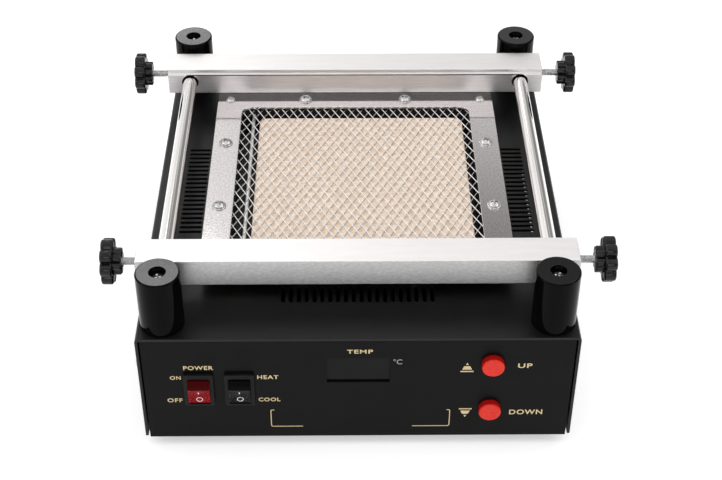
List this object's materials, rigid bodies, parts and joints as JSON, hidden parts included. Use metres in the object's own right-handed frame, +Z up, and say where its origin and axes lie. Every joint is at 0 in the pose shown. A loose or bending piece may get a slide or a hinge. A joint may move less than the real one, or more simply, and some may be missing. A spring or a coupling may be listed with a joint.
{
  "type": "pcb preheater",
  "caption": "Bench infrared preheater: black folded case, ceramic heater plate under a wire guard, clamp bars that slide on rods, rocker switches and push buttons.",
  "frame": {"origin": "on the surface that the feet stand on, below the middle of the whole object", "axes": "+X to the user's right, +Y from the control panel to the rear wall, +Z up"},
  "size_m": [0.262, 0.2579, 0.1093],
  "materials": {
    "case_paint": "satin black powder coat",
    "bright_zinc": "bright zinc plate",
    "rubber": "matt moulded rubber",
    "polished_steel": "polished stainless steel",
    "ground_steel": "ground and polished rod",
    "satin_aluminium": "satin anodised",
    "black_plastic": "moulded, semi-gloss",
    "red_plastic": "moulded, glossy",
    "smoked_window": "smoked acrylic",
    "display_body": "moulded display body",
    "ceramic": "cream fired ceramic",
    "insulation": "pressed mineral fibre",
    "heating_alloy": "oxidised resistance alloy",
    "circuit_board": "green solder mask",
    "lamination": "varnished laminations",
    "dark_aluminium": "black anodised"
  },
  "bodies": {
    "base": {"chassis": "case_paint", "top_cover": "case_paint", "side_screws": "bright_zinc", "foot_screws": "bright_zinc", "frame_screws": "bright_zinc", "frame_washers": "bright_zinc", "frame_nuts": "bright_zinc", "frame_spacers": "bright_zinc", "frame_rivets": "bright_zinc", "post_screws": "bright_zinc", "post_nuts": "bright_zinc", "front_board_studs": "bright_zinc", "power_board_studs": "bright_zinc", "inlet_screws": "bright_zinc", "fan_guard": "bright_zinc", "fan_screws": "bright_zinc", "rubber_feet": "rubber", "frame_plate": "polished_steel", "guard_mesh": "polished_steel", "heater_tray": "polished_steel", "temperature_probe": "polished_steel", "left_rod": "ground_steel", "right_rod": "ground_steel", "front_left_post": "black_plastic", "front_right_post": "black_plastic", "rear_left_post": "black_plastic", "rear_right_post": "black_plastic", "power_switch": "black_plastic", "mode_switch": "black_plastic", "key_switches": "black_plastic", "power_inlet": "black_plastic", "fan_frame": "black_plastic", "display_window": "smoked_window", "display_module": "display_body", "ceramic_plate": "ceramic", "insulation_board": "insulation", "heating_strip": "heating_alloy", "front_board": "circuit_board", "power_board": "circuit_board", "transformer": "lamination", "heat_sink": "dark_aluminium"},
    "front_bar": {"front_bar": "satin_aluminium"},
    "rear_bar": {"rear_bar": "satin_aluminium"},
    "power_rocker": {"power_rocker": "red_plastic"},
    "mode_rocker": {"mode_rocker": "black_plastic"},
    "up_button": {"up_button": "red_plastic"},
    "down_button": {"down_button": "red_plastic"},
    "fan_rotor": {"fan_rotor": "black_plastic"},
    "front_left_clamp": {"front_left_knob": "black_plastic", "front_left_clamp_screw": "bright_zinc"},
    "front_right_clamp": {"front_right_knob": "black_plastic", "front_right_clamp_screw": "bright_zinc"},
    "rear_left_clamp": {"rear_left_knob": "black_plastic", "rear_left_clamp_screw": "bright_zinc"},
    "rear_right_clamp": {"rear_right_knob": "black_plastic", "rear_right_clamp_screw": "bright_zinc"}
  },
  "joints": [
    {"name": "front_bar_slide", "type": "slide", "parent": "base", "child": "front_bar", "axis": [0, 1, 0], "range_m": [0, 0.075]},
    {"name": "rear_bar_slide", "type": "slide", "parent": "base", "child": "rear_bar", "axis": [0, 1, 0], "range_m": [-0.075, 0.002]},
    {"name": "front_left_clamp_turn", "type": "hinge", "parent": "front_bar", "child": "front_left_clamp", "pos_m": [-0.115, -0.0883, 0.0973], "axis": [-1, 0, 0], "range_deg": [0, 540]},
    {"name": "front_right_clamp_turn", "type": "hinge", "parent": "front_bar", "child": "front_right_clamp", "pos_m": [0.115, -0.0883, 0.0973], "axis": [1, 0, 0], "range_deg": [0, 540]},
    {"name": "rear_left_clamp_turn", "type": "hinge", "parent": "rear_bar", "child": "rear_left_clamp", "pos_m": [-0.115, 0.0874, 0.0973], "axis": [-1, 0, 0], "range_deg": [0, 540]},
    {"name": "rear_right_clamp_turn", "type": "hinge", "parent": "rear_bar", "child": "rear_right_clamp", "pos_m": [0.115, 0.0874, 0.0973], "axis": [1, 0, 0], "range_deg": [0, 540]},
    {"name": "power_rocker_tilt", "type": "hinge", "parent": "base", "child": "power_rocker", "pos_m": [-0.0806, -0.122, 0.0422], "axis": [-1, 0, 0], "range_deg": [0, 26]},
    {"name": "mode_rocker_tilt", "type": "hinge", "parent": "base", "child": "mode_rocker", "pos_m": [-0.06, -0.122, 0.0422], "axis": [-1, 0, 0], "range_deg": [0, 26]},
    {"name": "up_button_press", "type": "slide", "parent": "base", "child": "up_button", "axis": [0, 1, 0], "range_m": [0, 0.0015], "stiffness_N_per_m": 400, "springref_m": -0.001},
    {"name": "down_button_press", "type": "slide", "parent": "base", "child": "down_button", "axis": [0, 1, 0], "range_m": [0, 0.0015], "stiffness_N_per_m": 400, "springref_m": -0.001},
    {"name": "fan_spin", "type": "hinge", "parent": "base", "child": "fan_rotor", "pos_m": [0.045, 0.106, 0.0382], "axis": [0, 1, 0], "continuous": true}
  ]
}
